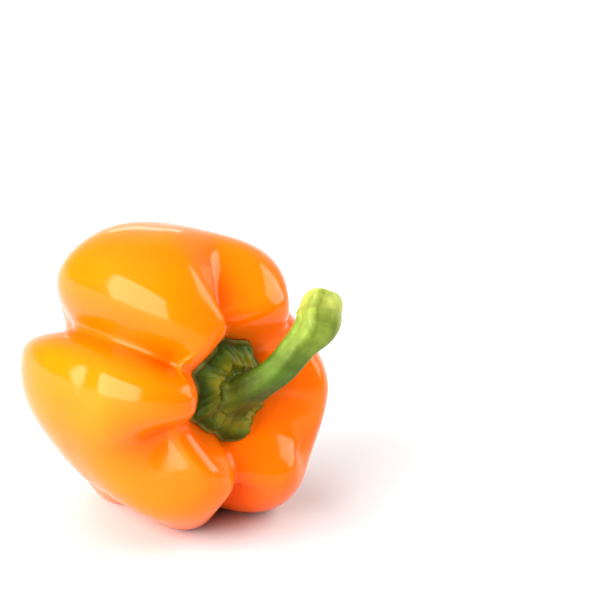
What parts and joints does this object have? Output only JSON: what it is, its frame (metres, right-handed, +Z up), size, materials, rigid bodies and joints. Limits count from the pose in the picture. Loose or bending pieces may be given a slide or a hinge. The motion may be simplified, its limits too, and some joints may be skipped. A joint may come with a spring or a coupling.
{
  "type": "bell pepper",
  "caption": "Bell pepper lying on its side: lobed glossy fruit with a hollow round the stem, green calyx and curved stem.",
  "frame": {"origin": "under the middle of the bounding box, on the surface that the pepper lies on", "axes": "+Z up; +X along the fruit's axis, from the blossom end to the stem end"},
  "size_m": [0.0996, 0.0842, 0.0897],
  "materials": {
    "fruit": "smooth waxy orange skin, glossy",
    "stem": "green ribbed stem and calyx, satin to matte"
  },
  "bodies": {
    "root": {"fruit": "fruit", "stem": "stem"}
  },
  "joints": []
}
